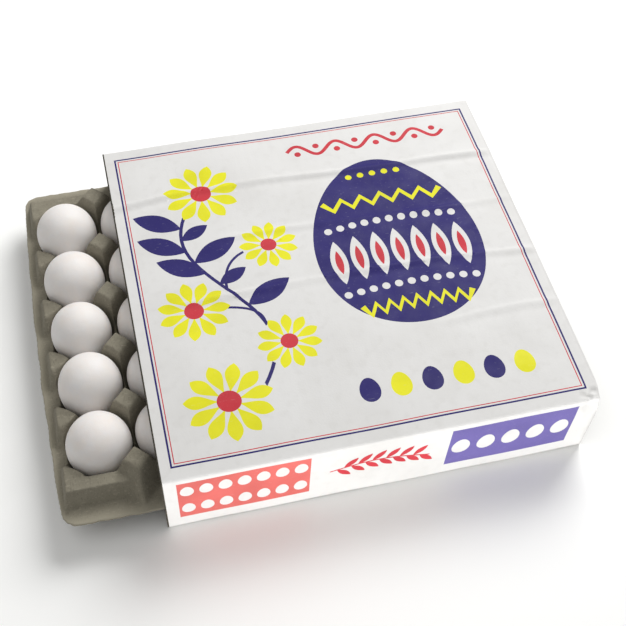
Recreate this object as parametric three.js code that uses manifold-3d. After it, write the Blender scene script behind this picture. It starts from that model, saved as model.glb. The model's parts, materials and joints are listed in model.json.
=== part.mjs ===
// A thirty-egg pack: a moulded-pulp tray of six columns by five rows of large white eggs, drawn part of the
// way out of an open-ended paperboard sleeve. Millimetres, +Z up, the sleeve runs along X and the tray comes
// out towards -X. The origin is the bottom centre of the whole pack as it lies, tray end included.
import * as THREE from "three";
import { ConvexGeometry } from "three/addons/geometries/ConvexGeometry.js";
import { mergeVertices } from "three/addons/utils/BufferGeometryUtils.js";
import Module from "manifold-3d";

const wasm = await Module();
wasm.setup();

// Driving dimensions
const eggPitch = 47.5; // from one egg to the next, both ways
const columns = 6; // along X
const rows = 5; // along Y
const endRim = 6.5; // tray beyond the last cells, at the corners of the two X ends
const endBow = 3.5; // how much further the middle of each X end bows out
const sideMargin = 28.75; // tray beyond the last cells, at the two Y sides: it makes the tray nearly square
const trayLength = columns * eggPitch + 2 * endRim;
const trayWidth = rows * eggPitch + 2 * sideMargin;
const sleeveLength = 300;
const boardThickness = 0.8;
const sleeveWidth = trayWidth + 2 * boardThickness + 1.4; // outside, with 0.7 mm of play each side
const sleeveHeight = 64; // outside, over the eggs
const pullOut = 70; // how far the tray stands out of the sleeve
const restGap = 0.4; // between the sleeve's floor and the tray

// Places along X
const overallLength = sleeveLength + pullOut;
const sleeveStart = overallLength / -2 + pullOut;
const trayCentreX = overallLength / -2 + endBow + trayLength / 2;

// The sleeve's top is flat over the eggs and falls a little towards its two side folds.
const crownFlat = 85; // half the flat width
const crownDrop = 1.2;
const crownSteps = 4;
const foldRadius = 1.6; // outside, along its four folds

// Tray heights, above the table
const trayBase = boardThickness + restGap;
const pulpThickness = 2.2;
const wallThickness = 1.6; // measured level, on the steep cup walls
const cupFloor = trayBase + pulpThickness;
const flangeTop = 27; // the rim all round, and the narrow strips between cups
const plateauTop = 41; // the raised strips beside the four corner cells, and the half posts at the ends
const postTop = 50;
const postFoot = 22; // where a post's slopes have run into the cups

// Tray outline and forms
const trayCornerRadius = 11;
const plateauInside = 120.5; // from the tray's middle line out to a plateau, across Y
const plateauEdge = 129.4; // to its outer edge at the top
const plateauEdgeFoot = 136; // and to the same edge at the flange
const plateauEnd = (columns / 2 - 1) * eggPitch; // from the middle along X out to where a plateau begins
const endWall = 143.8; // from the middle to the end walls along X, at the top
const endWallFoot = 147; // and at the flange
const postHalf = 8; // half the diagonal of a post's diamond top
const endPostHalf = 15; // the end posts are drawn out along X
const postSlope = 1.45; // fall of a post's ridges for each millimetre outwards
// Each post at the tray's two Y sides has a rib that runs from it out to the flange, as [distance from the
// tray's middle line, height of its crest]. Its sides are a gentle shoulder, then a steep fall.
const ribCrest = [
  [(rows * eggPitch) / 2, postTop],
  [plateauEdge, 45.5],
  [141.5, flangeTop],
];
const ribTopHalf = 1; // half the width of its crest
const ribShoulder = [3, 3.3]; // half its width at the shoulder, and how far that lies under the crest
const ribSideSlope = 4.5; // fall of its sides under the shoulder
const ribFoot = 20; // inside the rim

// Inside of one egg cup, as [distance from its axis to a flat side, height], with eight flat sides
const cupProfile = [
  [9, cupFloor],
  [18.7, 14],
  [23.4, 31],
  [27.6, postTop + 10],
];

// Eggs: large, big end up
const eggRadius = 21.9;
const eggLength = 56.6;
const eggAsymmetry = 0.12; // how much fuller the upper half is
const eggSpread = 1.014; // the greatest value of sin t * (1 - eggAsymmetry * cos t)
const eggLift = 0.6; // the small end is this far over the cup's floor
const eggPivot = 24; // the height above its small end about which an egg leans
const eggSides = 12;
const eggBands = 8;
// The five eggs in the open, from the back: [radius, length, lean in degrees along X, lean along Y]
const openEggs = [
  [22.7, 57.0, -4.5, -0.5],
  [22.5, 56.8, -1.0, -3.5],
  [21.8, 56.8, -3.0, -3.5],
  [22.5, 57.3, 2.5, 3.0],
  [22.6, 56.9, 3.5, -5.0],
];

const paperboard = new THREE.MeshStandardMaterial({ color: "#dcdcd9", roughness: 0.55, metalness: 0 });
const pulp = new THREE.MeshStandardMaterial({ color: "#7d796c", roughness: 0.95, metalness: 0 });
const eggshell = new THREE.MeshStandardMaterial({ color: "#e6e2de", roughness: 0.45, metalness: 0 });

// A closed three.js geometry as a solid that can be cut and joined.
function solidOf(geometry) {
  const bare = geometry.clone().deleteAttribute("normal").deleteAttribute("uv");
  const merged = mergeVertices(bare, 1e-4);
  return new wasm.Manifold(
    new wasm.Mesh({
      numProp: 3,
      vertProperties: merged.attributes.position.array,
      triVerts: new Uint32Array(merged.index.array),
    }),
  );
}

// A solid back as a three.js geometry.
function geometryOf(solid) {
  const made = solid.getMesh();
  const geometry = new THREE.BufferGeometry();
  geometry.setAttribute("position", new THREE.BufferAttribute(made.vertProperties, 3));
  geometry.setIndex(new THREE.BufferAttribute(made.triVerts, 1));
  geometry.computeVertexNormals();
  return geometry;
}

function joined(solids) {
  return solids.reduce((whole, solid) => whole.add(solid));
}

// A repeatable value from -1 to 1 for each whole number.
function scatter(index) {
  const value = Math.sin(index * 12.9898) * 43758.5453;
  return 2 * (value - Math.floor(value)) - 1;
}

// Height of the sleeve's outside at a distance y from its middle line: level, then a shallow parabola.
function crownHeight(y) {
  const past = Math.max(0, Math.abs(y) - crownFlat) / (sleeveWidth / 2 - crownFlat);
  return sleeveHeight - crownDrop * past * past;
}

// The sleeve's section across X, moved inwards by inset: level floor, upright sides, crowned top, round folds.
function sleeveSection(inset) {
  const half = sleeveWidth / 2 - inset;
  const floor = inset;
  const radius = foldRadius - inset / 2;
  const shoulder = crownHeight(half - radius) - inset;
  const outline = new THREE.Shape();
  outline.moveTo(-half + radius, floor);
  outline.lineTo(half - radius, floor);
  outline.absarc(half - radius, floor + radius, radius, -Math.PI / 2, 0, false);
  outline.lineTo(half, shoulder - radius);
  outline.absarc(half - radius, shoulder - radius, radius, 0, Math.PI / 2, false);
  for (let i = 1; i < crownSteps; i++) {
    const y = half - radius - ((half - radius - crownFlat) * i) / crownSteps;
    outline.lineTo(y, crownHeight(y) - inset);
  }
  outline.lineTo(crownFlat, sleeveHeight - inset);
  outline.lineTo(-crownFlat, sleeveHeight - inset);
  for (let i = crownSteps - 1; i > 0; i--) {
    const y = half - radius - ((half - radius - crownFlat) * i) / crownSteps;
    outline.lineTo(-y, crownHeight(y) - inset);
  }
  outline.absarc(-half + radius, shoulder - radius, radius, Math.PI / 2, Math.PI, false);
  outline.lineTo(-half, floor + radius);
  outline.absarc(-half + radius, floor + radius, radius, Math.PI, 1.5 * Math.PI, false);
  return outline;
}

// The open-ended sleeve: one wrapped board, drawn along X.
function makeSleeve() {
  const section = sleeveSection(0);
  section.holes.push(sleeveSection(boardThickness));
  const geometry = new THREE.ExtrudeGeometry(section, {
    depth: sleeveLength,
    bevelEnabled: false,
    curveSegments: 3,
  });
  // The section's plane becomes YZ and its depth becomes X.
  geometry.applyMatrix4(new THREE.Matrix4().set(0, 0, 1, 0, 1, 0, 0, 0, 0, 1, 0, 0, 0, 0, 0, 1));
  geometry.translate(sleeveStart, 0, 0);
  return geometry;
}

// A block with a level section that goes from its halves below to its halves above, upright or leaning in.
function taperedBlock(halfXBelow, halfYBelow, bottom, halfXAbove, halfYAbove, top) {
  const geometry = new THREE.BoxGeometry(2, 2, top - bottom);
  const position = geometry.attributes.position;
  for (let i = 0; i < position.count; i++) {
    const above = position.getZ(i) > 0;
    position.setX(i, position.getX(i) * (above ? halfXAbove : halfXBelow));
    position.setY(i, position.getY(i) * (above ? halfYAbove : halfYBelow));
    position.setZ(i, above ? top : bottom);
  }
  return solidOf(geometry);
}

// A level plate with rounded corners, whose two X ends bow out.
function rimPlate(halfX, halfY, bottom, top) {
  const radius = trayCornerRadius;
  const outline = new THREE.Shape();
  outline.moveTo(-halfX + radius, -halfY);
  outline.absarc(halfX - radius, -halfY + radius, radius, -Math.PI / 2, 0, false);
  outline.quadraticCurveTo(halfX + 2 * endBow, 0, halfX, halfY - radius);
  outline.absarc(halfX - radius, halfY - radius, radius, 0, Math.PI / 2, false);
  outline.absarc(-halfX + radius, halfY - radius, radius, Math.PI / 2, Math.PI, false);
  outline.quadraticCurveTo(-halfX - 2 * endBow, 0, -halfX, -halfY + radius);
  outline.absarc(-halfX + radius, -halfY + radius, radius, Math.PI, 1.5 * Math.PI, false);
  const geometry = new THREE.ExtrudeGeometry(outline, {
    depth: top - bottom,
    bevelEnabled: false,
    curveSegments: 6,
  });
  geometry.translate(0, 0, bottom);
  return solidOf(geometry);
}

// A four-sided pyramid without its tip: a diamond in plan, whose corners lie along X and Y.
function diamondPost(x, y, halfX, halfY, top, bottom) {
  const spread = (top - bottom) / postSlope;
  const growX = 1 + spread / halfY;
  const geometry = new THREE.CylinderGeometry(1, growX, top - bottom, 4, 1);
  geometry.rotateX(Math.PI / 2);
  geometry.scale(halfX, halfY, 1);
  geometry.translate(x, y, (top + bottom) / 2);
  return solidOf(geometry);
}

// A rib across the rim at x, on the side of the tray that side is 1 or -1 for.
function ribWedge(x, side, wall, drop) {
  const corners = [];
  for (const [reach, crest] of ribCrest) {
    const [shoulderHalf, shoulderDrop] = ribShoulder;
    const footHalf = shoulderHalf + Math.max(0, crest - shoulderDrop - ribFoot) / ribSideSlope;
    const levels = [
      [ribTopHalf, crest],
      [shoulderHalf, crest - shoulderDrop],
      [footHalf, ribFoot],
    ];
    for (const [half, height] of levels) {
      const narrowed = Math.max(0.1, half - wall);
      for (const across of [-narrowed, narrowed]) {
        corners.push(new THREE.Vector3(x + across, side * (reach - wall), height - drop));
      }
    }
  }
  return solidOf(new ConvexGeometry(corners));
}

// The space of one cup, eight-sided, pushed outwards by wall and lowered by drop.
function cupSpace(x, y, wall, drop) {
  const corner = 1 / Math.cos(Math.PI / 8);
  const points = [new THREE.Vector2(0, cupFloor - drop)];
  for (const [reach, height] of cupProfile) {
    points.push(new THREE.Vector2((reach + wall) * corner, height - drop));
  }
  points.push(new THREE.Vector2(0, cupProfile.at(-1)[1] - drop));
  const geometry = new THREE.LatheGeometry(points, 8, Math.PI / 8);
  geometry.rotateX(Math.PI / 2);
  geometry.translate(x, y, 0);
  return solidOf(geometry);
}

function columnX(column) {
  return (column - (columns - 1) / 2) * eggPitch;
}

function rowY(row) {
  return (row - (rows - 1) / 2) * eggPitch;
}

// Everything under one face of the pulp, as a solid. thin is 0 for the upper face and 1 for the lower.
function pulpBody(thin) {
  const wall = thin * wallThickness;
  const drop = thin * pulpThickness;
  const below = -10 - 10 * thin;
  const past = thin * 10; // the lower face runs on past the rim, which leaves the rim a free edge
  const rim = rimPlate(trayLength / 2 + past, trayWidth / 2 + past, below, flangeTop - drop);

  const plateaus = taperedBlock(
    endWallFoot - wall,
    plateauEdgeFoot - wall,
    flangeTop - drop - 1,
    endWall - wall,
    plateauEdge - wall,
    plateauTop - drop,
  )
    .subtract(taperedBlock(trayLength, plateauInside + wall, 0, trayLength, plateauInside + wall, postTop))
    .subtract(taperedBlock(plateauEnd + wall, trayWidth, 0, plateauEnd + wall, trayWidth, postTop));

  const posts = [];
  const endPosts = [];
  const ribs = [];
  for (let j = 0; j <= rows; j++) {
    const y = rowY(j) - eggPitch / 2;
    for (let i = 1; i < columns; i++) {
      const x = columnX(i) - eggPitch / 2;
      posts.push(diamondPost(x, y, postHalf - wall, postHalf - wall, postTop - drop, postFoot - drop));
    }
    for (const end of [-1, 1]) {
      const x = (end * columns * eggPitch) / 2;
      endPosts.push(diamondPost(x, y, endPostHalf - wall, postHalf - wall, plateauTop - drop, postFoot - drop));
    }
  }
  for (let i = 1; i < columns; i++) {
    for (const side of [-1, 1]) ribs.push(ribWedge(columnX(i) - eggPitch / 2, side, wall, drop));
  }
  const betweenEnds = taperedBlock(
    endWallFoot - wall,
    trayWidth,
    flangeTop - drop - 1,
    endWall - wall,
    trayWidth,
    plateauTop - drop,
  );
  const raised = joined([plateaus, ...endPosts]).intersect(betweenEnds).add(joined([...posts, ...ribs]));

  const cups = [];
  for (let i = 0; i < columns; i++) {
    for (let j = 0; j < rows; j++) cups.push(cupSpace(columnX(i), rowY(j), wall, drop));
  }
  return rim.add(raised).subtract(joined(cups));
}

// The tray: its upper body less its lower one leaves a thin pulp shell, open below.
function makeTray() {
  const shell = pulpBody(0).subtract(pulpBody(1));
  return geometryOf(shell);
}

// One egg, small end down at the origin: z = length/2 (1 - cos t), radius * sin t * (1 - asymmetry * cos t).
function makeEgg(radius, length) {
  const points = [];
  for (let i = 0; i <= eggBands; i++) {
    const t = (Math.PI * i) / eggBands;
    const fullness = (Math.sin(t) * (1 - eggAsymmetry * Math.cos(t))) / eggSpread;
    const isEnd = i === 0 || i === eggBands;
    points.push(new THREE.Vector2(isEnd ? 0 : radius * fullness, (length / 2) * (1 - Math.cos(t))));
  }
  const geometry = new THREE.LatheGeometry(points, eggSides);
  geometry.rotateX(Math.PI / 2);
  return geometry;
}

const pack = new THREE.Group();

const sleeve = new THREE.Mesh(makeSleeve(), paperboard);
sleeve.name = "sleeve";
pack.add(sleeve);

const drawer = new THREE.Group(); // what slides: the tray and its eggs
drawer.position.x = trayCentreX;
pack.add(drawer);

const tray = new THREE.Mesh(makeTray(), pulp);
tray.name = "tray";
drawer.add(tray);

for (let i = 0; i < columns; i++) {
  for (let j = 0; j < rows; j++) {
    const seed = 10 * i + j + 1;
    const inOpen = i === 0 ? openEggs[rows - 1 - j] : null;
    const radius = inOpen ? inOpen[0] : eggRadius + 0.3 * scatter(seed);
    const length = inOpen ? inOpen[1] : eggLength + 0.9 * scatter(seed + 100);
    const leanX = inOpen ? inOpen[2] : 2 * scatter(seed + 200);
    const leanY = inOpen ? inOpen[3] : 2 * scatter(seed + 300);
    const geometry = makeEgg(radius, length);
    geometry.translate(0, 0, -eggPivot);
    const egg = new THREE.Mesh(geometry, eggshell);
    egg.name = `egg_c${i + 1}_r${j + 1}`;
    egg.position.set(columnX(i), rowY(j), cupFloor + eggLift + eggPivot);
    egg.rotation.set(THREE.MathUtils.degToRad(-leanY), THREE.MathUtils.degToRad(leanX), 0);
    drawer.add(egg);
  }
}

export default pack;
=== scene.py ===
import json
import math

import bpy
import numpy as np
from mathutils import Matrix, Vector
from mathutils.geometry import delaunay_2d_cdt

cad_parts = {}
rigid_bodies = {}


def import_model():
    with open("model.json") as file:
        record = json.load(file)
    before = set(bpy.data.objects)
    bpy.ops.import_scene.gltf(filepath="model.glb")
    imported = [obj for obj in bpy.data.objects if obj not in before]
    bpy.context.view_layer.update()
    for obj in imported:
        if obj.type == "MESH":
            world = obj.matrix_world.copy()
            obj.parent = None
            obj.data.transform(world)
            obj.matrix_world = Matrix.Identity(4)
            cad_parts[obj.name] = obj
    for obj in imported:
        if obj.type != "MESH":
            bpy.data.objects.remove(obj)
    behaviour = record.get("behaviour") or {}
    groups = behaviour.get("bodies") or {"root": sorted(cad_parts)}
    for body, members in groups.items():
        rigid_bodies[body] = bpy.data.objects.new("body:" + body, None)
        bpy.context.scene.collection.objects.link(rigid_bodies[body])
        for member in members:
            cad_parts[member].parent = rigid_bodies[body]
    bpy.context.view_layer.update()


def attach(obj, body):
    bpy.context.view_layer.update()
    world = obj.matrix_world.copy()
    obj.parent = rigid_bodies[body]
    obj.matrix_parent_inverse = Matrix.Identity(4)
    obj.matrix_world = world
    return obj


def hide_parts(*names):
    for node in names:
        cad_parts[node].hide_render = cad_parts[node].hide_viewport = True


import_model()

# A thirty-egg pack: a moulded pulp tray of large white eggs drawn part of the way out of a printed board
# sleeve. Lengths are millimetres here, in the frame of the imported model, and meshPiece turns them to metres.
# The camera and the stage alone are in metres.

cameraPlan = dict(
    place=(-0.115, -0.5013, 0.7188),
    forward=(0.1555, 0.5703, -0.8066),
    up=(0.1713, 0.7886, 0.5906),
    lens=65.79,
)


def makeCamera(plan):
    forward = Vector(plan["forward"]).normalized()
    up = Vector(plan["up"])
    up = (up - forward * up.dot(forward)).normalized()
    data = bpy.data.cameras.new("camera")
    data.sensor_width = 36
    data.lens = plan["lens"]
    camera = bpy.data.objects.new("camera", data)
    turn = Matrix((forward.cross(up), up, -forward)).transposed().to_4x4()
    camera.matrix_world = Matrix.Translation(plan["place"]) @ turn
    bpy.context.collection.objects.link(camera)
    bpy.context.scene.camera = camera


# The mesh of a piece from points and lists of faces, each list an array of three or four columns.
def meshPiece(name, points, faces, materials, faceMaterial=None):
    mesh = bpy.data.meshes.new(name)
    rows = [row for part in faces for row in np.asarray(part).tolist()]
    mesh.from_pydata((np.asarray(points) * 0.001).tolist(), [], rows)
    for material in materials:
        mesh.materials.append(material)
    if faceMaterial is not None:
        mesh.polygons.foreach_set("material_index", np.asarray(faceMaterial, dtype=np.int32))
    mesh.shade_smooth()
    piece = bpy.data.objects.new(name, mesh)
    bpy.context.collection.objects.link(piece)
    return piece


# Quads of a grid of rows by columns, counter-clockwise; a grid that closes on itself joins its last column
# to its first.
def gridFaces(rowCount, columnCount, closed=False):
    across = columnCount if closed else columnCount - 1
    row, column = np.meshgrid(np.arange(rowCount - 1), np.arange(across), indexing="ij")
    here = (row * columnCount + column).ravel()
    beside = (row * columnCount + (column + 1) % columnCount).ravel()
    return np.stack([here, beside, beside + columnCount, here + columnCount], axis=1)


# An sRGB colour such as "#2f2a66" as the linear colour that the shaders take, darkened to a share of it.
def toLinear(hexColour, share=1.0):
    parts = np.array([int(hexColour[i:i + 2], 16) for i in (1, 3, 5)]) / 255
    linear = np.where(parts <= 0.04045, parts / 12.92, ((parts + 0.055) / 1.055) ** 2.4)
    return (*(linear * share).tolist(), 1.0)


# Adds a node: inputs gives each socket, by name or number, a value or another node's output.
def addNode(tree, kind, inputs=None, **settings):
    node = tree.nodes.new("ShaderNode" + kind)
    for name, value in settings.items():
        setattr(node, name, value)
    for socket, value in (inputs or {}).items():
        if isinstance(value, bpy.types.NodeSocket):
            tree.links.new(value, node.inputs[socket])
        else:
            node.inputs[socket].default_value = value
    return node


def startMaterial(name, roughness, ior=1.5):
    material = bpy.data.materials.new(name)
    material.use_nodes = True
    tree = material.node_tree
    shader = tree.nodes["Principled BSDF"]
    shader.inputs["Roughness"].default_value = roughness
    shader.inputs["IOR"].default_value = ior
    place = addNode(tree, "TexCoord").outputs["Object"]
    return material, tree, shader, place


# A noise pattern whose features are about size millimetres across, spread from low to high.
def grain(tree, place, size, low, high, detail=3.0, stretch=(1, 1, 1)):
    spread = addNode(tree, "Mapping", {"Vector": place, "Scale": stretch}).outputs["Vector"]
    noise = addNode(tree, "TexNoise", {"Vector": spread, "Scale": 1000 / size, "Detail": detail})
    ranged = addNode(
        tree, "MapRange",
        {"Value": noise.outputs["Fac"], "From Min": 0.3, "From Max": 0.7, "To Min": low, "To Max": high},
    )
    return ranged.outputs["Result"]


# The base colour: a ground with layers laid over it in turn, each a factor, a colour and perhaps its share.
def layColours(tree, shader, ground, layers):
    colour = toLinear(ground)
    for factor, *over in layers:
        sockets = {0: factor, 6: colour, 7: toLinear(*over)}
        colour = addNode(tree, "Mix", sockets, data_type="RGBA", clamp_factor=True).outputs[2]
    tree.links.new(colour, shader.inputs["Base Color"])


# Layers of relief, each with a height pattern, its depth in millimetres and its strength.
def addBump(tree, shader, layers):
    normal = None
    for height, distance, strength in layers:
        inputs = {"Height": height, "Distance": distance * 0.001, "Strength": strength}
        if normal is not None:
            inputs["Normal"] = normal
        normal = addNode(tree, "Bump", inputs).outputs["Normal"]
    tree.links.new(normal, shader.inputs["Normal"])


# Moulded pulp: waste paper and water sucked onto a wire form and dried. It is matt, with short felted
# fibres in pale and dark flecks, a slightly lumpy skin, and a grey-olive colour, made paler towards the
# trimmed edge.
pulpPlan = dict(
    colour="#807b6c", dark="#736d5f", pale="#8c8777", fleck="#5f594d", fleckPale="#a09a89",
    blotch=38, mottle=6, fibre=0.9, roughness=0.95, paling=0.8,
)


def makePulpMaterial(plan):
    material, tree, shader, place = startMaterial("moulded pulp", plan["roughness"], 1.45)
    flecks = grain(tree, place, plan["fibre"], -0.6, 0.4, 2.0, (1, 0.35, 0.6))  # fibres lie mostly one way
    paleFlecks = grain(tree, place, plan["fibre"] * 1.3, -0.8, 0.36, 2.0, (0.4, 1, 0.7))
    # The pulp is mixed towards a paler colour near the tray's outer edge, by a share stored on the mesh.
    paleEdge = addNode(tree, "Attribute", attribute_name="paleEdge").outputs["Fac"]
    paling = addNode(tree, "Math", {0: paleEdge, 1: plan["paling"]}, operation="MULTIPLY").outputs[0]
    layColours(tree, shader, plan["colour"], [
        (grain(tree, place, plan["blotch"], 0.0, 0.5), plan["dark"]),
        (grain(tree, place, plan["mottle"], 0.0, 0.35), plan["pale"]),
        (flecks, plan["fleck"]), (paleFlecks, plan["fleckPale"]), (paling, plan["fleckPale"]),
    ])
    fine = grain(tree, place, plan["fibre"] * 0.8, 0, 1, 4.0)
    lumps = grain(tree, place, plan["mottle"], 0, 1, 2.0)
    addBump(tree, shader, [(lumps, 0.5, 0.3), (fine, 0.18, 0.35)])
    return material


# White eggshell: calcite under a thin dry bloom. Nearly white, faintly warm and uneven, satin, with pores
# about 0.3 mm apart that are drawn at 0.7 mm so that they show.
shellPlan = dict(
    colour="#e4e0dc", warm="#dcd3cb", cool="#dddcdd", roughness=0.6,
    blotch=22, mottle=9, sheen=5, lumps=6, pore=0.7,
    glow=0.12, glowReach=(0.0025, 0.0018, 0.0014),  # light in the shell: its share, and metres it goes
)


def makeShellMaterial(plan):
    material, tree, shader, place = startMaterial("white eggshell", plan["roughness"], 1.5)
    layColours(tree, shader, plan["colour"], [
        (grain(tree, place, plan["blotch"], 0, 0.7), plan["warm"]),
        (grain(tree, place, plan["mottle"], 0, 0.5), plan["cool"]),
    ])
    sheen = grain(tree, place, plan["sheen"], plan["roughness"] - 0.05, plan["roughness"] + 0.08)
    tree.links.new(sheen, shader.inputs["Roughness"])
    shader.inputs["Subsurface Weight"].default_value = plan["glow"]
    shader.inputs["Subsurface Radius"].default_value = plan["glowReach"]
    shader.inputs["Subsurface Scale"].default_value = 1.0
    pores = grain(tree, place, plan["pore"], 0, 1, 1.0)
    lumps = grain(tree, place, plan["lumps"], 0, 1, 1.0)
    addBump(tree, shader, [(lumps, 0.5, 0.12), (pores, 0.12, 0.25)])
    return material


# Clay-coated carton board: a smooth white skin of clay on grey board, with a low sheen. An ink lies on the
# skin as a thin, slightly uneven film. Handling leaves faint grey smudges, and fine pale scuffs in the inks.
boardPlan = dict(
    white="#d1d0ce", smudge="#bebcb8", roughness=0.58,
    specular=0.18,  # clay and ink films reflect less than plastic
    blotch=55, cloud=7, sheen=12, tooth=1.4,
    rib=6.4,  # from one faint rib of the board to the next
    inkBlotch=26, inkDark=0.72, inkMottle=2.2, scuff=1.1,
    inks=dict(indigo="#2a2466", yellow="#dedb22", red="#c23640", redField="#cf6660", violetField="#695f9c"),
)


def makeBoardMaterial(name, plan, ink=None):
    material, tree, shader, place = startMaterial(name, plan["roughness"])
    if ink is None:
        layColours(tree, shader, plan["white"], [
            (grain(tree, place, plan["blotch"], -0.2, 0.3), plan["smudge"]),
            (grain(tree, place, plan["cloud"], -0.25, 0.2), plan["smudge"]),
        ])
    else:
        layColours(tree, shader, ink, [
            (grain(tree, place, plan["inkBlotch"], 0, 0.6), ink, plan["inkDark"]),
            (grain(tree, place, plan["inkMottle"], -0.2, 0.04, 4.0), plan["white"]),
            (grain(tree, place, plan["scuff"], -9, 0.1, 3.0, (0.2, 1, 1)), plan["white"]),
        ])
    shader.inputs["Specular IOR Level"].default_value = plan["specular"]
    sheen = grain(tree, place, plan["sheen"], plan["roughness"] - 0.06, plan["roughness"] + 0.1)
    tree.links.new(sheen, shader.inputs["Roughness"])
    tooth = grain(tree, place, plan["tooth"], 0, 1, 3.0)
    waveScale = 1000 / plan["rib"] * math.pi / 10  # at scale 1 the waves stand pi / 10 of a metre apart
    waves = addNode(
        tree, "TexWave", {"Vector": place, "Scale": waveScale, "Distortion": 0.3},
        wave_type="BANDS", bands_direction="X",
    )
    addBump(tree, shader, [(waves.outputs["Fac"], 0.05, 0.3), (tooth, 0.06, 0.5)])
    return material


# Bare board: recycled fibre with no clay on it, grey-brown inside the sleeve. The cut ends, and a thin strip
# of the outer face along the open end, take a near-black board colour: painted shade of the board's edge and
# the gap.
bareBoardPlan = dict(
    boards={  # colour, dark blotches, pale fibres
        "bare grey board": ("#8a8378", "#75695c", "#a49d90"),
        # painted shade: this near-black stands for the shadow at the cut edge and in the gap at the open end
        "grey board edge painted with shade": ("#3f3b31", "#2f2c24", "#575145"),
    },
    roughness=0.85, blotch=14, fibre=1.2, felt=0.9,
)


def makeBareBoardMaterial(name, plan):
    material, tree, shader, place = startMaterial(name, plan["roughness"], 1.45)
    colour, dark, fibre = plan["boards"][name]
    layColours(tree, shader, colour, [
        (grain(tree, place, plan["blotch"], 0, 0.5), dark),
        (grain(tree, place, plan["fibre"], -1.2, 0.9, 3, (0.3, 1, 1)), fibre),
    ])
    addBump(tree, shader, [(grain(tree, place, plan["felt"], 0, 1), 0.15, 0.4)])
    return material


# A gentle unevenness from about -1 to 1: a few sine waves of lengths from low to high millimetres, each
# with its own heading and phase drawn from the seed.
def unevenness(x, y, seed, low, high, waves=6):
    draw = np.random.default_rng(seed)
    total = np.zeros(np.shape(x))
    for length in np.geomspace(low, high, waves):
        heading, phase = draw.uniform(0, 2 * math.pi, 2)
        total += np.sin(2 * math.pi / length * (x * math.cos(heading) + y * math.sin(heading)) + phase)
    return total / math.sqrt(waves)


# The higher or the lower of two heights, with the crease between them rounded over about width.
def blendHigh(a, b, width):
    part = np.clip(0.5 + 0.5 * (a - b) / width, 0, 1)
    return b + (a - b) * part + width * part * (1 - part)


def blendLow(a, b, width):
    return -blendHigh(-a, -b, width)


# The size of a value without the sharp turn at 0: the root of value squared and edge squared, less edge.
def softSize(value, edge):
    return np.sqrt(value**2 + edge**2) - edge


trayPlan = dict(
    centre=-32.5, pitch=47.5, columns=6, rows=5, halfLength=149.0, halfWidth=147.5, corner=11.0,
    bowFrom=145.5, endBow=3.5,  # past bowFrom the ends bow out by endBow in the middle
    floor=3.4, rim=27.0, plateau=41.0, post=50.0,
    plateauInside=120.5, insideSlope=9, plateauEdge=129.4, plateauEdgeFoot=136.0, plateauEnd=95.0,
    endWall=143.8, endWallFoot=147.0,
    postHalf=8.0, endPostHalf=15.0, postSlope=1.45,
    ribCrest=((100, 50), (118.75, 50), (129.4, 45.5), (141.5, 27), (142.5, 20)),
    ribTopHalf=0.8, ribShoulder=3.0, ribSlopes=(1.3, 4.5),
    cup=((0, 3.4), (9, 3.4), (18.7, 14), (23.4, 31), (27.6, 60), (50, 214)),
    pulp=2.2, wall=1.6,
    # How far the turns are rounded. The two post tops are shares of the post's half width.
    rounded=dict(
        ridge=0.3, postTop=0.05, endPostTop=0.06, band=0.8, inside=0.9, post=0.5, endWall=1.1, rib=0.4,
        rim=1.0, cupRidge=0.2, cup=1.5, brink=0.5,
    ),
    # The mesh: points round each cup, then for the upper and the lower face the rings, as shares of the way
    # from the cup's axis out to its brink and from there to the cell's edge, then lines beyond the cells.
    around=88,
    rings=(
        ((0.28, 0.38, 0.5, 0.62, 0.73, 0.8, 0.86, 0.91, 0.95, 0.98, 1.0),
         (0.05, 0.12, 0.22, 0.36, 0.52, 0.7, 0.86, 1.0)),
        ((0.28, 0.45, 0.65, 0.8, 0.92, 1.0),
         (0.2, 0.6, 1.0)),
    ),
    linesX=(142.5, 143.2, 143.9, 144.6, 145.6, 146.5, 147.2, 148.2, 148.7),
    linesY=(
        118.75, 119.6, 120.3, 120.9, 121.6, 124, 126.7, 128.5, 129.2, 129.7, 130.3, 132.5, 134.9, 135.7,
        136.3, 137.2, 139.2, 141, 141.9, 144, 146.2, 147.1,
    ),
    lumps=0.16, ragged=0.35, raggedIn=2.0,  # the trimmed edge wanders this much, from this far in
    lip=(-0.35, 0.5), lipOut=0.5,  # and it is rounded: its upper and lower lines move, its middle stands out
    paleEnd=3.0, paleSide=9.0,  # how far in the edge is pale
)


# Inside of a cup: its height by the distance from its axis to one of its eight flat sides, with the turns
# of the profile rounded by a moving average.
def cupProfile(plan):
    reach = np.arange(0, 48, 0.1)
    height = np.interp(reach, *np.transpose(plan["cup"]))
    kernel = np.hanning(23)
    height[12:-12] = np.convolve(height, kernel / kernel.sum(), "same")[12:-12]
    return reach, height


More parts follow.
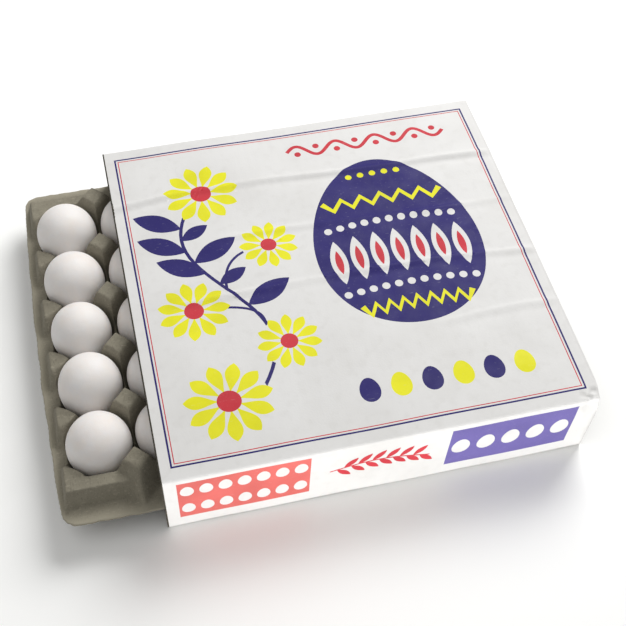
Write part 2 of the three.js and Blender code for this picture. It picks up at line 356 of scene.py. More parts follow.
# Heights at x, y from the tray's middle of what stands between the cups and of the cups; the pulp's is the
# lower. What stands is the highest of the rim, the plateaus of the corner cells, the end posts, the posts and
# the ribs from the side posts out to the flange. thin is 0 for the upper face and 1 for the lower, where
# every form is moved in by the wall and down by the pulp's thickness.
def pulpHeight(x, y, thin, plan):
    soft, top = plan["rounded"], plan["plateau"]
    wall, drop, pitch = thin * plan["wall"], thin * plan["pulp"], plan["pitch"]
    farX, farY = np.abs(x), np.abs(y)
    half = plan["postHalf"] - wall
    fall = half * plan["postSlope"]
    postX = softSize(x - pitch * np.clip(np.round(x / pitch), -2, 2), soft["ridge"]) / half
    postY = softSize(y - pitch * (np.clip(np.round(y / pitch - 0.5), -3, 2) + 0.5), soft["ridge"]) / half
    post = plan["post"] - fall * blendHigh(postX + postY - 1, 0, soft["postTop"])
    endX = softSize(farX - 3 * pitch, soft["ridge"]) / (plan["endPostHalf"] - wall)
    endPost = top - fall * blendHigh(endX + postY - 1, 0, soft["endPostTop"])

    lean = (top - plan["rim"] + 1) / (plan["plateauEdgeFoot"] - plan["plateauEdge"])
    band = top - lean * (farY - plan["plateauEdge"] + wall)
    inside = top + plan["insideSlope"] * (farY - plan["plateauInside"] - wall)
    beside = top + plan["insideSlope"] * (farX - plan["plateauEnd"] - wall)
    endLean = (top - plan["rim"] + 1) / (plan["endWallFoot"] - plan["endWall"])
    end = top - endLean * (farX - plan["endWall"] + wall)
    plateau = blendLow(np.full(np.shape(x), top), band, soft["band"])
    plateau = blendLow(blendLow(plateau, inside, soft["inside"]), beside, soft["inside"])
    raised = blendLow(blendHigh(plateau, endPost, soft["post"]), end, soft["endWall"])
    past = np.maximum(np.abs(postX) * half + wall - plan["ribTopHalf"], 0)
    gentle, steep = plan["ribSlopes"]
    rib = np.interp(farY + wall, *np.transpose(plan["ribCrest"])) - gentle * past
    rib = np.where(farY > 2.5 * pitch - 2, rib - steep * np.maximum(past - plan["ribShoulder"], 0), 0)
    stands = blendHigh(blendHigh(raised, post, soft["post"]), rib, soft["rib"])
    stands = blendHigh(stands, plan["rim"], soft["rim"]) - drop

    cupX = x - pitch * (np.clip(np.round(x / pitch - 0.5), -3, 2) + 0.5)
    cupY = y - pitch * np.clip(np.round(y / pitch), -2, 2)
    cupX, cupY = softSize(cupX, soft["cupRidge"]), softSize(cupY, soft["cupRidge"])
    reach = blendHigh(cupX, cupY, soft["cup"])
    reach = blendHigh(reach, (cupX + cupY) / math.sqrt(2), soft["cup"]) - wall
    cup = np.interp(reach, *plan["profile"]) - drop
    return stands, cup


# Even angles drawn towards the corners of a cell, where the posts stand: angle + 0.12 sin(4 angle).
def drawToCorners(angle):
    return angle + 0.12 * np.sin(4 * angle)


# One face of the tray as x, y points and quads. Round each egg the mesh is a fan of rays: rings lead from
# the cup's floor out to the line where its wall meets what stands round it, found by halving, and on to the
# square of the cell. Plain strips lead from the outer cells to the tray's edge.
def pulpSheet(thin, inner, outer, plan):
    pitch, half = plan["pitch"], plan["pitch"] / 2
    angle = drawToCorners(np.arange(plan["around"]) * 2 * math.pi / plan["around"])
    alongX, alongY = np.cos(angle), np.sin(angle)
    border = half / np.maximum(np.abs(alongX), np.abs(alongY))
    middleX = (np.arange(plan["columns"]) - (plan["columns"] - 1) / 2) * pitch
    middleY = (np.arange(plan["rows"]) - (plan["rows"] - 1) / 2) * pitch
    centreX, centreY = [side.reshape(-1, 1) for side in np.meshgrid(middleX, middleY)]
    low, high = np.full((centreX.size, angle.size), 15.0), np.tile(border, (centreX.size, 1))
    for halving in range(22):
        middle = (low + high) / 2
        stands, cup = pulpHeight(centreX + middle * alongX, centreY + middle * alongY, thin, plan)
        low, high = np.where(cup < stands, middle, low), np.where(cup < stands, high, middle)
    brink = np.minimum(low, border - 0.3)
    radius = np.concatenate([
        np.array(inner)[None, :, None] * brink[:, None, :],
        brink[:, None, :] + np.array(outer)[None, :, None] * (border - brink)[:, None, :],
    ], axis=1)
    x = centreX[:, :, None] + radius * alongX
    y = centreY[:, :, None] + radius * alongY
    rings, around = radius.shape[1:]
    quads = gridFaces(rings, around, closed=True)[:, [0, 3, 2, 1]]
    starts = np.arange(centreX.size) * rings * around
    cellQuads = (starts[:, None, None] + quads[None]).reshape(-1, 4)
    caps = starts[:, None] + np.arange(around)[None]

    side = half * np.tan(drawToCorners(np.linspace(-math.pi / 4, math.pi / 4, around // 4 + 1)))
    strip = []
    for middles, lines, edge in ((middleX, "linesX", "halfLength"), (middleY, "linesY", "halfWidth")):
        inside = np.unique(np.round((middles[:, None] + side).ravel(), 5))
        beyond = np.array([*plan[lines][1:], plan[edge]])
        strip.append(np.concatenate([-beyond[::-1], inside, beyond]))
    stripX, stripY = np.meshgrid(*strip)
    quads = gridFaces(*stripX.shape)
    quadX, quadY = stripX.ravel()[quads].mean(axis=1), stripY.ravel()[quads].mean(axis=1)
    quads = quads[(np.abs(quadX) > 3 * pitch) | (np.abs(quadY) > 2.5 * pitch)]
    allPoints = np.column_stack([np.append(x, stripX), np.append(y, stripY)])
    allQuads = np.concatenate([cellQuads, quads + x.size])
    kept, back = np.unique(np.round(allPoints, 4), axis=0, return_inverse=True)
    back = back.ravel()
    allQuads, caps = back[allQuads], back[caps]
    used = np.unique(np.concatenate([allQuads.ravel(), caps.ravel()]))
    renumber = np.full(len(kept), -1)
    renumber[used] = np.arange(used.size)
    return kept[used], renumber[allQuads], renumber[caps]


# The rectangle of the tray bent to its outline: each corner square is drawn into a quarter disc, the ends
# bow out by a parabola, and the edge wanders a little as torn pulp does.
def bendOutline(points, plan):
    x, y = points.T.copy()
    halfX, halfY, corner = plan["halfLength"], plan["halfWidth"], plan["corner"]
    partX = np.clip((np.abs(x) - halfX + corner) / corner, 0, 1)
    partY = np.clip((np.abs(y) - halfY + corner) / corner, 0, 1)
    x -= np.sign(x) * corner * partX * (1 - np.sqrt(1 - partY**2 / 2))
    y -= np.sign(y) * corner * partY * (1 - np.sqrt(1 - partX**2 / 2))
    past = np.clip((np.abs(points[:, 0]) - plan["bowFrom"]) / (halfX - plan["bowFrom"]), 0, 1)
    x += np.sign(x) * past * plan["endBow"] * (1 - (y / halfY) ** 2)
    nearSide = np.clip((np.abs(points[:, 1]) - halfY + plan["raggedIn"]) / plan["raggedIn"], 0, 1)
    wander = plan["ragged"] * np.maximum(past, nearSide) * (unevenness(x, y, 5, 4, 30) - 0.6)
    size = np.maximum(np.hypot(x, y), 1)
    return np.stack([x + wander * x / size, y + wander * y / size], axis=1)


# The shell of the tray: an upper and a lower face, and the rounded edge that joins them.
def makeTray(plan, material):
    plan["profile"] = cupProfile(plan)
    sheets = []
    for thin, (inner, outer) in enumerate(plan["rings"]):
        flat, quads, caps = pulpSheet(thin, inner, outer, plan)
        toEnd, toSide = plan["halfLength"] - np.abs(flat[:, 0]), plan["halfWidth"] - np.abs(flat[:, 1])
        border = (toEnd < 0.01) | (toSide < 0.01)
        bent = bendOutline(flat, plan)
        stands, cup = pulpHeight(bent[:, 0], bent[:, 1], thin, plan)
        height = blendLow(stands, cup, plan["rounded"]["brink"])
        height += plan["lumps"] * unevenness(bent[:, 0], bent[:, 1], 3, 7, 40)
        height = np.where(cup < plan["floor"] + 0.4, cup, height) + plan["lip"][thin] * border
        rim = np.flatnonzero(border)
        rim = rim[np.argsort(np.arctan2(bent[rim, 1], bent[rim, 0]))]
        paling = np.clip(1 - np.minimum(toEnd / plan["paleEnd"], toSide / plan["paleSide"]), 0, 1)
        sheets.append((np.column_stack([bent, height]), quads, caps, rim, paling))
    faces, quads, caps, rims, paling = zip(*sheets)
    middle = (faces[0][rims[0]] + faces[1][rims[1]]) / 2
    outwards = middle[:, :2] / np.linalg.norm(middle[:, :2], axis=1, keepdims=True)
    middle[:, :2] += plan["lipOut"] * outwards
    points = np.concatenate([*faces, middle])
    points[:, 0] += plan["centre"]
    below = len(faces[0])
    lowerRim = rims[1] + below
    middleRim = np.arange(len(middle)) + below + len(faces[1])
    edgeQuads = [
        np.stack([one, np.roll(one, -1), np.roll(two, -1), two], axis=1)
        for one, two in ((lowerRim, middleRim), (middleRim, rims[0]))
    ]
    polygons = [quads[0], caps[0], (quads[1] + below)[:, ::-1], (caps[1] + below)[:, ::-1], *edgeQuads]
    tray = meshPiece("pulpTray", points, polygons, [material])
    paleEdge = tray.data.attributes.new("paleEdge", "FLOAT", "POINT")
    paleEdge.data.foreach_set("value", np.concatenate([*paling, np.ones(len(middle))]).astype(np.float32))
    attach(tray, "tray")
    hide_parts("tray")
    print("tray:", len(points), "points")


# The eggs: [radius, length, lean along X, lean along Y] of the five in the open, from the back, and the
# usual sizes of the rest with how far each may differ.
eggPlan = dict(
    open=(
        (22.7, 57.0, -4.5, -0.5), (22.5, 56.8, -1.0, -3.5), (21.8, 56.8, -3.0, -3.5), (22.5, 57.3, 2.5, 3.0),
        (22.6, 56.9, 3.5, -5.0),
    ),
    radius=(21.9, 0.3), length=(56.6, 0.9), lean=2.0,
    pivot=24.0, lift=4.0,  # an egg leans about a point this far above its lower end, which is this high
    fullness=0.12, widest=1.014,  # the most that the formula's radius and the lumps come to
    lumps=0.12, bands=36, sides=56,
)


# A number from -1 to 1 that looks random but is the same each time: the fraction of a large sine.
def scatter(index):
    value = math.sin(index * 12.9898) * 43758.5453
    return 2 * (value - math.floor(value)) - 1


# A surface of revolution, small end down: at t from 0 to pi the height is length / 2 (1 - cos t) and the
# radius follows sin t (1 - fullness cos t), which is fuller above. Soft waves make no two quite alike.
def makeEgg(name, x, y, radius, length, leanX, leanY, seed, plan, material):
    bands, sides, pivot = plan["bands"], plan["sides"], plan["pivot"]
    t = np.linspace(0, math.pi, bands + 1)[1:-1, None]
    angle = np.linspace(0, 2 * math.pi, sides, endpoint=False)[None]
    reach = radius * np.sin(t) * (1 - plan["fullness"] * np.cos(t)) / plan["widest"]
    height = length / 2 * (1 - np.cos(t)) - pivot + 0 * angle
    across, along = reach * np.cos(angle), reach * np.sin(angle)
    swell = 1 + plan["lumps"] / radius * unevenness(across + height, along - height, seed, 25, 70, 4)
    points = np.stack([across * swell, along * swell, height], axis=2).reshape(-1, 3)
    points = np.concatenate([points, [[0, 0, -pivot], [0, 0, length - pivot]]])
    turn = Matrix.Rotation(math.radians(-leanY), 3, "X") @ Matrix.Rotation(math.radians(leanX), 3, "Y")
    points = points @ np.array(turn).T + [x, y, plan["lift"] + pivot]
    last = len(points) - 1
    first = np.arange(sides)
    top = first + (bands - 2) * sides
    faces = [
        gridFaces(bands - 1, sides, closed=True),
        np.stack([np.roll(first, -1), first, np.full(first.size, last - 1)], axis=1),
        np.stack([top, np.roll(top, -1), np.full(first.size, last)], axis=1),
    ]
    return meshPiece(name, points, faces, [material])


def makeEggs(plan, tray, material):
    for i in range(tray["columns"]):
        for j in range(tray["rows"]):
            seed = 10 * i + j + 1
            if i == 0:
                radius, length, leanX, leanY = plan["open"][tray["rows"] - 1 - j]
            else:
                radius = plan["radius"][0] + plan["radius"][1] * scatter(seed)
                length = plan["length"][0] + plan["length"][1] * scatter(seed + 100)
                leanX, leanY = plan["lean"] * scatter(seed + 200), plan["lean"] * scatter(seed + 300)
            x = (i - (tray["columns"] - 1) / 2) * tray["pitch"] + tray["centre"]
            y = (j - (tray["rows"] - 1) / 2) * tray["pitch"]
            place = f"c{i + 1}_r{j + 1}"
            egg = makeEgg("egg_shell_" + place, x, y, radius, length, leanX, leanY, seed, plan, material)
            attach(egg, "tray")
            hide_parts("egg_" + place)
    print("eggs:", tray["columns"] * tray["rows"])


sleevePlan = dict(
    start=-115.0, length=300.0, halfWidth=149.0, height=64.0, board=0.8,
    shadeStrip=1.1,  # painted shade: this far in from the open end the outer face is near-black, for the shadow in the gap
    fold=1.6, crownFlat=85.0, crownDrop=1.2,  # past crownFlat from the middle the top falls by crownDrop
    bulge=0.35,
    # Creases along the top: the height, then points of distance from the open end and from the middle line.
    creases=(
        (1.5, (
            (-9, 87.5), (25, 91.6), (48, 94.4), (82, 94.5), (119, 94.6), (170, 92.2), (218, 90), (252, 90.6),
            (305, 88),
        )),
        (0.75, ((70, 43), (95, 43.8), (122, 43.8), (170, 41.5), (215, 39), (264, 38), (305, 39))),
        (1.0, ((25, -11.7), (63, -9.7), (106, -9), (170, -7.7), (236, -8.5), (270, -11.5), (305, -15))),
        (0.65, ((205, -65.5), (240, -62.5), (275, -61.5), (305, -63.5))),
    ),
    creaseBack=1.9, creaseFront=3.2, furrow=(-6.2, 3.0, 0.35),  # furrow: place, width, share of the height
    creaseFade=(14, 12, 0.4),  # a crease rises over this far, and falls over this far to this share
    edgeFade=14,  # bulges and creases die out this far from the top's edges
    skew=3.0,  # the top's far end stands out this much more in front than behind
    # The crumpled corner at the front of the far end. Each dent has its place, back from the end and up or
    # down from the fold, its reach, and how far it moves the board along X, Y and Z.
    dents=(
        (1, -1, 7.0, (-1.6, 0.6, -1.4)), (8, 1, 3.0, (0, 1.3, -2.3)), (4.5, 1.5, 2.2, (0.2, -0.6, 1.4)),
        (4, 6, 3.2, (0, 0, -1.6)), (6, -9, 6.5, (-0.3, 2.8, 0)), (12, 4, 2.8, (0, 0, -1.1)),
    ),
    # The mesh: its step along the sleeve and over the top, lines in half the floor, a fold and a side, extra
    # lines beside each crease, and a finer net near the crumpled corner.
    step=3.0, floorLines=24, foldLines=5, sideLines=16,
    creaseLines=(-9, -7, -5, -3.6, -2.3, -1.1, 0, 0.8, 1.6, 2.6, 4), creaseStep=2.5, clearance=1.5,
    cornerNet=dict(back=(0.5, 18), up=(-16, 12), step=0.9),
)


# Outline of the sleeve's section as a path from the middle of its floor, round by the front: the distance
# along the path, points y, z, outward normals and the height of the top's edges. The top is level, then
# falls by a shallow parabola.
def sleeveSection(plan):
    half, fold = plan["halfWidth"], plan["fold"]
    y = np.arange(-half + fold, half - fold + 0.05, 0.1)
    past = np.clip(np.abs(y) - plan["crownFlat"], 0, None) / (half - plan["crownFlat"])
    crown = np.stack([y, plan["height"] - plan["crownDrop"] * past**2], axis=1)
    shoulder = crown[0, 1]

    def corner(centreY, centreZ, start):
        turn = np.radians(np.linspace(start, start - 90, 19))
        return np.stack([centreY + fold * np.cos(turn), centreZ + fold * np.sin(turn)], axis=1)

    path = np.concatenate([
        [[0, 0]], corner(-half + fold, fold, 270), corner(-half + fold, shoulder - fold, 180), crown[1:-1],
        corner(half - fold, shoulder - fold, 90), corner(half - fold, fold, 0), [[0, 0]],
    ])
    step = np.diff(path, axis=0)
    along = np.concatenate([[0], np.cumsum(np.hypot(*step.T))])
    tangent = np.gradient(path, along, axis=0)
    tangent[[0, -1]] = [-1, 0]
    normal = np.stack([-tangent[:, 1], tangent[:, 0]], axis=1)
    normal /= np.linalg.norm(normal, axis=1, keepdims=True)
    return along, path, normal, shoulder


# A curve through knots, straight from one to the next and then rounded by a moving average.
def smoothPath(knots, x):
    fine = np.linspace(knots[0][0], knots[-1][0], 300)
    height = np.interp(fine, *np.transpose(knots))
    kernel = np.hanning(31)
    padded = np.pad(height, 15, mode="edge")
    return np.interp(x, fine, np.convolve(padded, kernel / kernel.sum(), "valid"))


# Places on the flat sheet, u along X from the open end and s round the section, as points of the standing
# sleeve. depth 0 is the outer face and 1 the inner. The board bulges by soft waves, each crease is a ridge
# of a bell curve, steeper behind, with a shallow furrow in front of it, the far end leans out, and dents of
# a bell curve crumple one corner.
def sleevePoints(u, s, depth, plan):
    along, path, normal, shoulder = plan["section"]
    y, z = np.interp(s, along, path[:, 0]), np.interp(s, along, path[:, 1])
    normalY, normalZ = np.interp(s, along, normal[:, 0]), np.interp(s, along, normal[:, 1])
    onTop = np.clip((s - plan["topStart"]) / plan["edgeFade"], 0, 1)
    onTop *= np.clip((plan["topEnd"] - s) / plan["edgeFade"], 0, 1)
    below = (z < plan["fold"]) & (np.abs(y) < plan["halfWidth"] - plan["fold"])
    out = plan["bulge"] * unevenness(u, s, 11, 60, 220) * np.where(below, 0, 0.6 + 0.4 * onTop)
    furrowPlace, furrowWide, furrowShare = plan["furrow"]
    riseOver, fallOver, fallTo = plan["creaseFade"]
    for number, (high, knots) in enumerate(plan["creases"]):
        offset = s - plan["topMiddle"] - smoothPath(knots, u)
        fade = np.clip((u - knots[0][0]) / riseOver, 0, 1) * np.clip((knots[-1][0] - u) / fallOver, fallTo, 1)
        strength = high * fade * (0.8 + 0.2 * np.sin(u / 19 + 2 * number))
        ridge = np.exp(-(offset / np.where(offset > 0, plan["creaseBack"], plan["creaseFront"])) ** 2)
        furrow = np.exp(-((offset - furrowPlace) / furrowWide) ** 2)
        out += onTop * strength * (ridge - furrowShare * furrow)
    out -= depth * plan["board"]
    lean = plan["skew"] * u / plan["length"] * (0.5 - y / plan["halfWidth"] / 2) * z / plan["height"]
    points = np.stack([plan["start"] + u + lean, y + normalY * out, z + normalZ * out], axis=1)
    for back, up, reach, move in plan["dents"]:
        far = np.hypot(u - plan["length"] + back, s - plan["topStart"] - up)
        points += np.exp(-(far / reach) ** 2)[:, None] * move
    return points


# Outlines of the print's simple shapes, as closed loops of points. An oval may be pointed into an egg: at t
# its half width follows sin t (1 - pointed cos t).
def ovalOutline(x, y, halfX, halfY, pointed=0.0, count=48):
    t = np.linspace(0, 2 * math.pi, count, endpoint=False)
    return np.stack([x + halfX * np.sin(t) * (1 - pointed * np.cos(t)), y + halfY * np.cos(t)], axis=1)


# A leaf or petal: two arcs from its foot to its tip, width following sin(pi t) to a power.
def leafOutline(x, y, heading, length, width, blunt=1.0, count=12):
    t = np.linspace(0, 1, count + 1)
    side = width / 2 * np.sin(math.pi * t**blunt) ** 0.85
    one, other = np.stack([t * length, side], axis=1), np.stack([t * length, -side], axis=1)
    turn = math.radians(heading)
    spin = np.array([[math.cos(turn), math.sin(turn)], [-math.sin(turn), math.cos(turn)]])
    return np.concatenate([one, other[-2:0:-1]]) @ spin + [x, y]


# A ribbon of even width along a curve of points.
def ribbonOutline(path, width):
    path = np.asarray(path, dtype=float)
    tangent = np.gradient(path, axis=0)
    tangent /= np.linalg.norm(tangent, axis=1, keepdims=True)
    side = np.stack([-tangent[:, 1], tangent[:, 0]], axis=1) * width / 2
    return np.concatenate([path + side, (path - side)[::-1]])


# A rectangle with a point every 2.5 mm or so, which lets its sides follow the bulges and creases.
def boxOutline(left, right, low, high):
    corners = np.array([[left, low], [right, low], [right, high], [left, high], [left, low]], dtype=float)
    sides = []
    for start, end in zip(corners[:-1], corners[1:]):
        part = np.linspace(0, 1, int(np.abs(end - start).sum() / 2.5) + 2)[:-1, None]
        sides.append(start + part * (end - start))
    return np.concatenate(sides)


# A daisy on a disc of bare paper, which keeps what lies behind it clear of the petals.
def daisy(shapes, x, y, size, turn, petals=11):
    shapes.append((ovalOutline(x, y, size * 0.9, size * 0.9), "paper"))
    for k in range(petals):
        heading = turn + 360 * k / petals
        footX = x + size * 0.2 * math.cos(math.radians(heading))
        footY = y + size * 0.2 * math.sin(math.radians(heading))
        shapes.append((leafOutline(footX, footY, heading, size * 0.8, size * 0.34, 1.6), "yellow"))
    shapes.append((ovalOutline(x, y, size * 0.27, size * 0.27), "red"))


# The print. The top's, x along the sleeve from its middle and y across it: a thin double frame, a garland of
# leaves and daisies down one side, one big banded egg, a row of small eggs and a wavy ribbon with dots. A
# side's, x from the open end and y the height: two fields of colour and a sprig between.
printPlan = dict(
    top=(150.0, 147.4),  # half its length and half its width
    frame=(8.0, 1.3, 1.2, 0.7),  # the margin, the outer line, the gap and the inner line
    stem=dict(x=-80, sway=24, turns=1.1, phase=-0.6, foot=-124, rise=222, width=2.6),
    leaves=((38, 16), (31, 13.5), (24, 11)),  # lengths and widths to choose from
    leafCount=17, leafLean=62,
    # Daisies: place, size and turn. Stalks: the point of the stem that each starts from, and its daisy.
    daisies=((-96, -98, 31, 8), (-46, -58, 23, 20), (-106, -19, 26, 0), (-42, 30, 22, 12), (-82, 90, 29, 5)),
    stalks=((15, 2), (21, 3)), stalkWidth=2.0,
    # The banded egg: rows of dots, zigzags and a row of tulips, all bent like the egg by sag for each mm2.
    egg=(52.0, 18.0, 62.0, 80.0), pointed=0.14, sag=0.0016,
    dotRows=((36, "paper", 3.0), (-25, "paper", 3.0), (84, "yellow", 2.6)), dotStep=9.6, dotInset=6,
    zigzags=((58, 13), (-43, 17)), zigzagHeight=9.5, zigzagWidth=4.6, zigzagInset=3.5,
    tulips=dict(foot=-15, step=15.6, outer=(41, 12.5), inner=(23, 5.5), innerLift=9),
    smallEggs=dict(x=-2, step=22, y=-109, halfX=7.2, halfY=9.6, count=6),
    ribbon=dict(x=-8, length=128, y=119, sway=5.5, width=3.0, waves=4, dotStep=16, dotSway=3.2, dot=2.6),
    # A side's fields: ink, left, right, low, high, small eggs in a row and rows of them.
    fields=(("redField", 9.5, 98.5, 12.0, 58.5, 7, 2), ("violetField", 195.0, 284.5, 12.0, 57.5, 5, 1)),
    smallPointed=0.12,
    sprig=dict(
        left=112, right=182, y=34, sway=5, bend=3.6, width=1.3, count=13, leaf=(14, 5), leans=(-44, 48),
    ),
)


# The stem sways as it rises, as a sine wave. Each leaf is the longest that runs into no daisy, or is left
# out, and each stalk is a curve drawn from the stem level to its daisy.
def addGarland(shapes, plan):
    stem = plan["stem"]
    t = np.linspace(0, 1, 40)
    sway = stem["sway"] * np.sin(t * 2 * math.pi * stem["turns"] + stem["phase"])
    curve = np.stack([stem["x"] + sway, stem["foot"] + stem["rise"] * t], axis=1)
    shapes.append((ribbonOutline(curve, stem["width"]), "indigo"))
    for k in range(plan["leafCount"]):
        lean = plan["leafLean"] if k % 2 else -plan["leafLean"]
        for size in plan["leaves"]:
            leaf = leafOutline(*curve[2 + 2 * k], 90 + lean, *size)
            gaps = [np.hypot(*(leaf - (x, y)).T).min() - reach for x, y, reach, turn in plan["daisies"]]
            if min(gaps) > 0.5:
                shapes.append((leaf, "indigo"))
                break
    for start, number in plan["stalks"]:
        x, y = plan["daisies"][number][:2]
        part = np.linspace(0, 1, 16)[:, None]
        turning = [curve[start][0], y]
        stalk = (1 - part) ** 2 * curve[start] + 2 * part * (1 - part) * turning + part**2 * [x, y]
        shapes.append((ribbonOutline(stalk, plan["stalkWidth"]), "indigo"))
    for x, y, size, turn in plan["daisies"]:
        daisy(shapes, x, y, size, turn)


def addBandedEgg(shapes, plan):
    x, y, halfX, halfY = plan["egg"]
    shapes.append((ovalOutline(x, y, halfX, halfY, plan["pointed"], 120), "indigo"))

    def halfAt(level, inset):
        t = np.arccos(np.clip((level - y) / halfY, -1, 1))
        return halfX * np.sin(t) * (1 - plan["pointed"] * np.cos(t)) - inset

    for level, ink, size in plan["dotRows"]:
        for across in np.arange(-6, 7) * plan["dotStep"]:
            if abs(across) < halfAt(level, plan["dotInset"]):
                dot = ovalOutline(x + across, level - across**2 * plan["sag"], size, size, count=20)
                shapes.append((dot, ink))
    for level, count in plan["zigzags"]:
        wide = halfAt(level, plan["zigzagInset"])
        across = np.linspace(-wide, wide, count)
        turns = level + plan["zigzagHeight"] / 2 * (-1) ** np.arange(count) - across**2 * plan["sag"]
        shapes.append((ribbonOutline(np.stack([x + across, turns], axis=1), plan["zigzagWidth"]), "yellow"))
    tulips = plan["tulips"]
    for k in range(-3, 4):
        across = tulips["step"] * k
        foot = tulips["foot"] - across**2 * plan["sag"]
        shapes.append((leafOutline(x + across, foot, 90, *tulips["outer"]), "paper"))
        shapes.append((leafOutline(x + across, foot + tulips["innerLift"], 90, *tulips["inner"]), "red"))


# Later shapes lie over earlier ones.
def topPrint(plan):
    shapes = []
    halfX, halfY = plan["top"]
    for inset, ink in zip(np.cumsum(plan["frame"]), ("indigo", "paper", "red", "paper")):
        shapes.append((boxOutline(-halfX + inset, halfX - inset, -halfY + inset, halfY - inset), ink))
    addGarland(shapes, plan)
    addBandedEgg(shapes, plan)
    row = plan["smallEggs"]
    for k in range(row["count"]):
        x, ink = row["x"] + row["step"] * k, "yellow" if k % 2 else "indigo"
        shapes.append((ovalOutline(x, row["y"], row["halfX"], row["halfY"], plan["smallPointed"], 30), ink))
    ribbon = plan["ribbon"]
    t = np.linspace(0, 1, 160)
    wave = ribbon["y"] + ribbon["sway"] * np.sin(t * ribbon["waves"] * 2 * math.pi)
    curve = np.stack([ribbon["x"] + ribbon["length"] * t, wave], axis=1)
    shapes.append((ribbonOutline(curve, ribbon["width"]), "red"))
    for k in range(2 * ribbon["waves"]):
        y = ribbon["y"] - ribbon["dotSway"] * (-1) ** k
        shapes.append((ovalOutline(ribbon["dotStep"] * k, y, ribbon["dot"], ribbon["dot"], count=18), "red"))
    return shapes


# Rows of small eggs are left bare in the fields, and the sprig has leaves on both sides.
def sidePrint(plan):
    shapes = []
    for ink, left, right, low, high, count, rowsOf in plan["fields"]:
        shapes.append((boxOutline(left, right, low, high), ink))
        tall = (high - low) / rowsOf
        wide = min(tall * 0.24, (right - left) / count * 0.36)
        for row in range(rowsOf):
            for k in range(count):
                x, y = left + (right - left) * (k + 0.5) / count, low + tall * (row + 0.5)
                egg = ovalOutline(x, y, wide, wide * 1.35, plan["smallPointed"], 24)
                shapes.append((egg, "paper"))
    sprig = plan["sprig"]
    rise = sprig["y"] + sprig["sway"] * np.sin(np.linspace(0, sprig["bend"], 30))
    curve = np.stack([np.linspace(sprig["left"], sprig["right"], 30), rise], axis=1)
    shapes.append((ribbonOutline(curve, sprig["width"]), "red"))
    for k in range(sprig["count"]):
        leaf = leafOutline(*curve[2 + 2 * k], sprig["leans"][k % 2], *sprig["leaf"])
        shapes.append((leaf, "red"))
    return shapes


# Which points lie inside a loop: those from which a ray along X crosses it an odd number of times.
def insideLoop(points, loop):
    near = np.flatnonzero(((points >= loop.min(axis=0)) & (points <= loop.max(axis=0))).all(axis=1))
    x, y = points[near].T[:, :, None]
    after = np.roll(loop, -1, axis=0)
    straddles = (loop[:, 1] > y) != (after[:, 1] > y)
    rise = np.where(after[:, 1] == loop[:, 1], 1e-9, after[:, 1] - loop[:, 1])
    crossing = loop[:, 0] + (y - loop[:, 1]) * (after[:, 0] - loop[:, 0]) / rise
    inside = (straddles & (x < crossing)).sum(axis=1) % 2 == 1
    return near[inside]


# The print laid on the flat sheet: the top's, then each side's. front is where the front side starts, at the
# height of the fold, and total is the way round.
def printOnSheet(art, plan, front, total):
    middle = np.array([plan["length"] / 2, plan["topMiddle"]])
    shapes = [(loop + middle, ink) for loop, ink in topPrint(art)]
    side = sidePrint(art)
    for loop, ink in side:
        shapes.append((loop + [0, front - plan["fold"]], ink))
    for loop, ink in side:  # the far side is printed alike, and reads from its own left
        turned = [plan["length"] - loop[:, 0], total - front + plan["fold"] - loop[:, 1]]
        shapes.append((np.stack(turned, axis=1), ink))
    return shapes


# The net of points of the flat sheet.
def sheetNet(plan, front, rise, arc, total):
    length, step, middle = plan["length"], plan["step"], plan["topMiddle"]
    folds = np.linspace(0, arc, plan["foldLines"])
    rows = np.concatenate([
        np.linspace(0, front - arc, plan["floorLines"])[:-1], front - arc + folds,
        np.linspace(front, front + rise, plan["sideLines"])[1:-1], front + rise + folds,
        np.linspace(plan["topStart"], middle, int(plan["halfWidth"] / step))[1:],
    ])
    rows = np.unique(np.round(np.concatenate([rows, total - rows]), 4))
    columns = np.linspace(0, length, int(length / step) + 1)
    columns = np.sort(np.append(columns, plan["shadeStrip"]))
    near = plan["cornerNet"]
    back, up = np.arange(*near["back"], near["step"]), np.arange(*near["up"], near["step"])
    nets = [np.meshgrid(columns, rows), np.meshgrid(length - back, plan["topStart"] + up)]
    net = [np.stack(part, axis=-1).reshape(-1, 2) for part in nets]
    for high, knots in plan["creases"]:
        first, last = max(plan["clearance"], knots[0][0]), min(length - plan["clearance"], knots[-1][0])
        u = np.arange(first, last, plan["creaseStep"])
        for offset in plan["creaseLines"]:
            net.append(np.stack([u, middle + smoothPath(knots, u) + offset], axis=1))
    return np.concatenate(net)


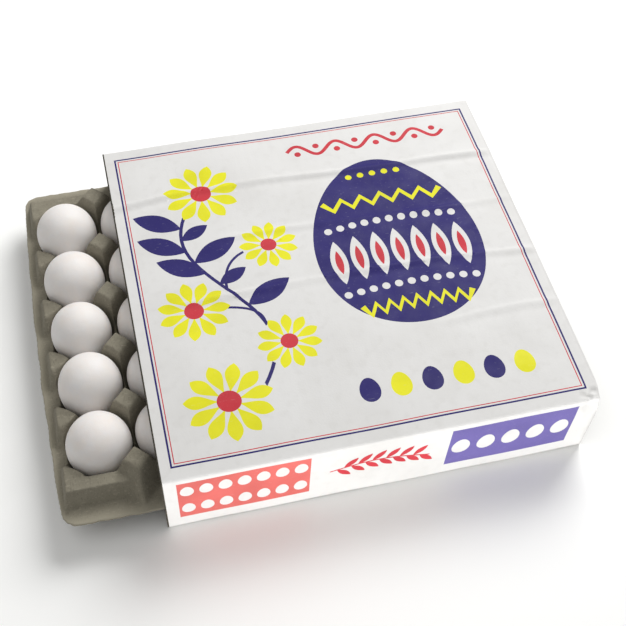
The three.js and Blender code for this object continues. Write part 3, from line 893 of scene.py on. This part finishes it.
# The sleeve is cut from one flat sheet: a net of points with the outlines of the print laid into it as
# edges, triangulated, wrapped round the section, and given an inner face and two cut ends.
def makeSleeve(plan, art, inks, materials):
    plan["section"] = sleeveSection(plan)
    total, shoulder = plan["section"][0][-1], plan["section"][3]
    arc = plan["fold"] * math.pi / 2
    front = plan["halfWidth"] - plan["fold"] + arc
    rise = shoulder - 2 * plan["fold"]
    plan["topStart"] = front + rise + arc
    plan["topMiddle"] = total / 2
    plan["topEnd"] = total - plan["topStart"]
    shapes = printOnSheet(art, plan, front, total)
    net = sheetNet(plan, front, rise, arc, total)
    edges, start = [], len(net)
    for loop, name in shapes:
        step = np.arange(len(loop))
        edges.append(np.stack([start + step, start + (step + 1) % len(loop)], axis=1))
        start += len(loop)
    sheet = np.concatenate([net, *[loop for loop, name in shapes]])
    points = [Vector(p) for p in sheet.tolist()]
    cut = delaunay_2d_cdt(points, np.concatenate(edges).tolist(), [], 0, 1e-4, False)
    flat, faces = np.array([tuple(p) for p in cut[0]]), np.array(cut[2])
    corners = flat[faces]
    first, second = corners[:, 1] - corners[:, 0], corners[:, 2] - corners[:, 0]
    area = first[:, 0] * second[:, 1] - first[:, 1] * second[:, 0]
    faces = np.where(area[:, None] > 0, faces, faces[:, ::-1])
    ink = np.zeros(len(faces), dtype=int)
    centres = corners.mean(axis=1)
    for loop, name in shapes:
        ink[insideLoop(centres, loop)] = inks.index(name)
    bare, shadeEdge = len(inks), len(inks) + 1
    # Painted shade: a near-black strip along the open end stands for the shadow in the gap at the sleeve's
    # mouth.
    ink[centres[:, 0] < plan["shadeStrip"]] = shadeEdge

    # The sheet's two long edges meet in the seam, where points that come together become one.
    seam = np.where(np.abs(flat[:, 1] - total) < 1e-3, 0.0, flat[:, 1])
    kept, back = np.unique(np.round(np.stack([flat[:, 0], seam], axis=1), 3), axis=0, return_inverse=True)
    faces = back.ravel()[faces]
    outer, inner = (sleevePoints(kept[:, 0], kept[:, 1], depth, plan) for depth in (0, 1))
    count = len(kept)
    ends = []
    for at, order in ((0, 1), (plan["length"], -1)):
        rim = np.flatnonzero(np.abs(kept[:, 0] - at) < 1e-3)
        rim = rim[np.argsort(kept[rim, 1])][::order]
        ends.append(np.stack([rim, np.roll(rim, -1), np.roll(rim, -1) + count, rim + count], axis=1))
    parts = [faces, faces[:, ::-1] + count, *ends]
    endCount = sum(len(end) for end in ends)
    # The cut ends take the same near-black: painted shade.
    faceMaterial = np.concatenate([ink, np.full(len(faces), bare), np.full(endCount, shadeEdge)])
    sleeve = meshPiece("boardSleeve", np.concatenate([outer, inner]), parts, materials, faceMaterial)
    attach(sleeve, "sleeve")
    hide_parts("sleeve")
    print("sleeve:", 2 * count, "points,", 2 * len(faces), "triangles")


# A pale floor and soft studio light: a broad key from behind on the right, a soft fill from the left, a low
# strip that lights only the printed front, and a bright room.
stagePlan = dict(
    floor="#f7f7f5", floorHalf=4, floorBelow=0.0004, room="#ffffff", roomStrength=0.285,
    flagged=("frontStrip", "boardSleeve"),  # a flag keeps this light on this piece alone
    lights=(  # name, place, point it faces, width, height, power
        ("keyLight", (0.72, 0.79, 1.15), (0, 0, 0), 0.94, 0.94, 26.0),
        ("leftFill", (-0.6, -0.4, 1.4), (0, 0, 0), 1.2, 1.2, 6.0),
        ("frontStrip", (0.06, -0.75, 0.03), (0.035, -0.149, 0.03), 0.7, 0.1, 5.8),
    ),
)


def makeStage(plan):
    mesh = bpy.data.meshes.new("floor")
    far, low = plan["floorHalf"], -plan["floorBelow"]
    corners = [(-far, -far, low), (far, -far, low), (far, far, low), (-far, far, low)]
    mesh.from_pydata(corners, [], [(0, 1, 2, 3)])
    material, tree, shader, place = startMaterial("pale floor", 0.7)
    shader.inputs["Base Color"].default_value = toLinear(plan["floor"])
    mesh.materials.append(material)
    floor = bpy.data.objects.new("floor", mesh)
    bpy.context.collection.objects.link(floor)
    world = bpy.data.worlds.new("room")
    world.use_nodes = True
    background = world.node_tree.nodes["Background"]
    background.inputs["Color"].default_value = toLinear(plan["room"])
    background.inputs["Strength"].default_value = plan["roomStrength"]
    bpy.context.scene.world = world
    for name, place, aim, width, height, power in plan["lights"]:
        data = bpy.data.lights.new(name, "AREA")
        data.shape = "RECTANGLE"
        data.size, data.size_y = width, height
        data.energy = power
        light = bpy.data.objects.new(name, data)
        light.visible_camera = False
        light.location = place
        light.rotation_euler = (Vector(aim) - Vector(place)).to_track_quat("-Z", "Y").to_euler()
        bpy.context.collection.objects.link(light)
        if name == plan["flagged"][0]:
            lit = bpy.data.collections.new("lit by " + name)
            lit.objects.link(bpy.data.objects[plan["flagged"][1]])
            light.light_linking.receiver_collection = lit
    bpy.context.scene.view_settings.view_transform = "Standard"
    print("stage:", len(plan["lights"]), "lights")


makeCamera(cameraPlan)
makeTray(trayPlan, makePulpMaterial(pulpPlan))
makeEggs(eggPlan, trayPlan, makeShellMaterial(shellPlan))
boardMaterials = [makeBoardMaterial("clay-coated carton board", boardPlan)]
for inkName, inkColour in boardPlan["inks"].items():
    boardMaterials.append(makeBoardMaterial(f"{inkName} ink on coated board", boardPlan, inkColour))
for boardName in bareBoardPlan["boards"]:
    boardMaterials.append(makeBareBoardMaterial(boardName, bareBoardPlan))
print("board materials:", len(boardMaterials))
makeSleeve(sleevePlan, printPlan, ["paper", *boardPlan["inks"]], boardMaterials)
makeStage(stagePlan)
